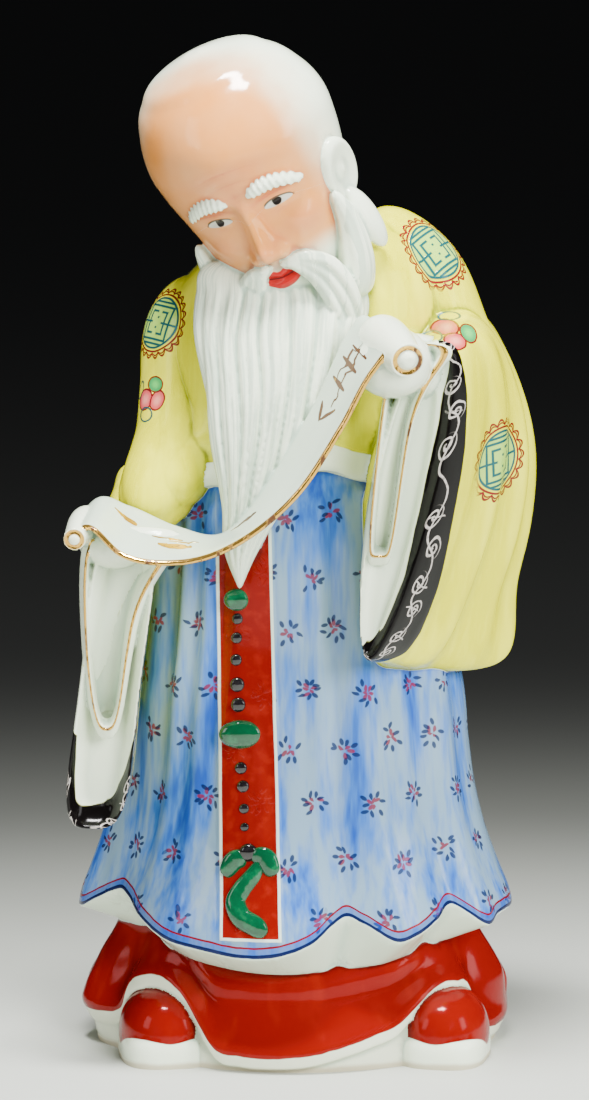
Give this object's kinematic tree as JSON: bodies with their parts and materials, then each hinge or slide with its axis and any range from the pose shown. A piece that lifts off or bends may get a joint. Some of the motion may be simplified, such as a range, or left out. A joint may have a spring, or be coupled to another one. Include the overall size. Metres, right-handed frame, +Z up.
{
  "type": "porcelain figurine",
  "caption": "Standing old man with a tall domed head and a long beard, holding an open scroll in sleeve-covered hands; one cast and glazed porcelain piece on a flat foot",
  "frame": {"origin": "on the floor, under the middle of the foot", "axes": "+Z up, -Y the way the figure faces, +X to the viewer's right when it is seen from the front"},
  "size_m": [0.1844, 0.1556, 0.4002],
  "materials": {
    "shoulao_figure": "clear glossy glaze over white, with painted enamel colours"
  },
  "bodies": {
    "root": {"shoulao_figure": "shoulao_figure"}
  },
  "joints": []
}
